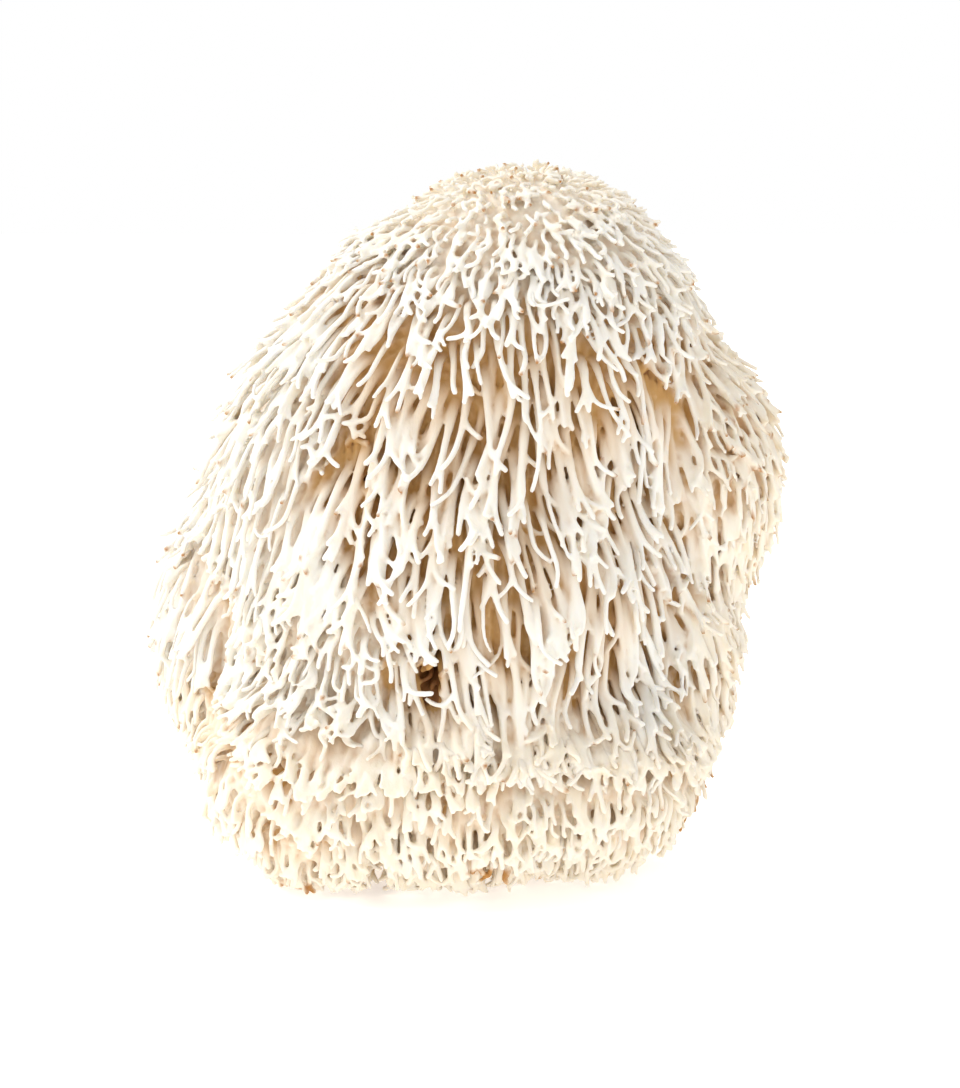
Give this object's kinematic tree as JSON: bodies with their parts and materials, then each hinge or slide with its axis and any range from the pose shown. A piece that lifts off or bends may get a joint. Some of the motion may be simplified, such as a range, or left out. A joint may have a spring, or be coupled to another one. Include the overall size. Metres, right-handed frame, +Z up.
{
  "type": "lion's mane mushroom",
  "caption": "Rounded lion's mane mushroom with hanging locks of white spines, a tufted cream crown and a flat cut base to rest on.",
  "frame": {"origin": "middle of the flat cut at the foot, where the fruiting body was taken off its block", "axes": "+Z up from the flat cut to the crown, -Y the front that the picture shows, +X to the right seen from the front"},
  "size_m": [0.1434, 0.1194, 0.154],
  "materials": {
    "mushroom_flesh": "matt, soft, warm white to cream, with small brown specks on spine tips and a brown cut foot"
  },
  "bodies": {
    "root": {"fruiting_body": "mushroom_flesh"}
  },
  "joints": []
}
